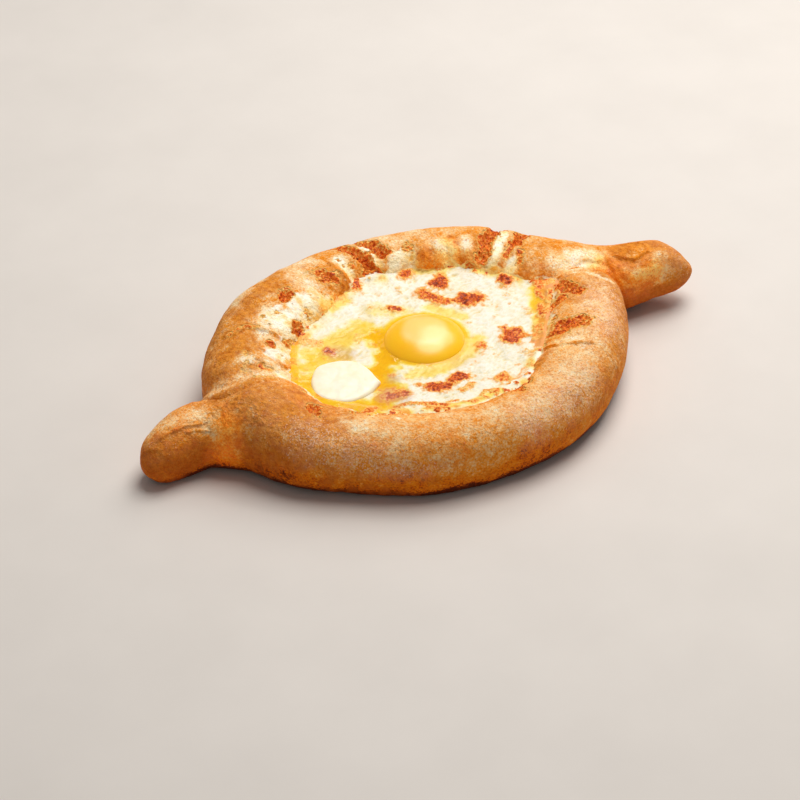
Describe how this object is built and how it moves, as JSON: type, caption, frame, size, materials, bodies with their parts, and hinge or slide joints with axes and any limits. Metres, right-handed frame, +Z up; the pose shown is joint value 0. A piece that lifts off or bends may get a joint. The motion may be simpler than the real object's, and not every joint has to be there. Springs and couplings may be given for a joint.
{
  "type": "khachapuri",
  "caption": "Boat-shaped khachapuri: two curled rolls of baked dough round a well of melted cheese, with a whole egg yolk and a pat of butter on it.",
  "frame": {"origin": "middle of the bread's box, on the surface it rests on", "axes": "+X from the lower handle, where the near roll starts, to the raised handle; +Y towards the taller long side; +Z up"},
  "size_m": [0.3046, 0.1746, 0.0408],
  "materials": {
    "crust": "baked dough, browned, dry and lightly floured",
    "cheese": "melted cheese and set egg white, moist, browned in spots",
    "yolk": "raw to just-set yolk, wet and glossy",
    "butter": "softened butter, satin"
  },
  "bodies": {
    "root": {"crust": "crust", "cheese": "cheese", "yolk": "yolk", "butter": "butter"}
  },
  "joints": []
}
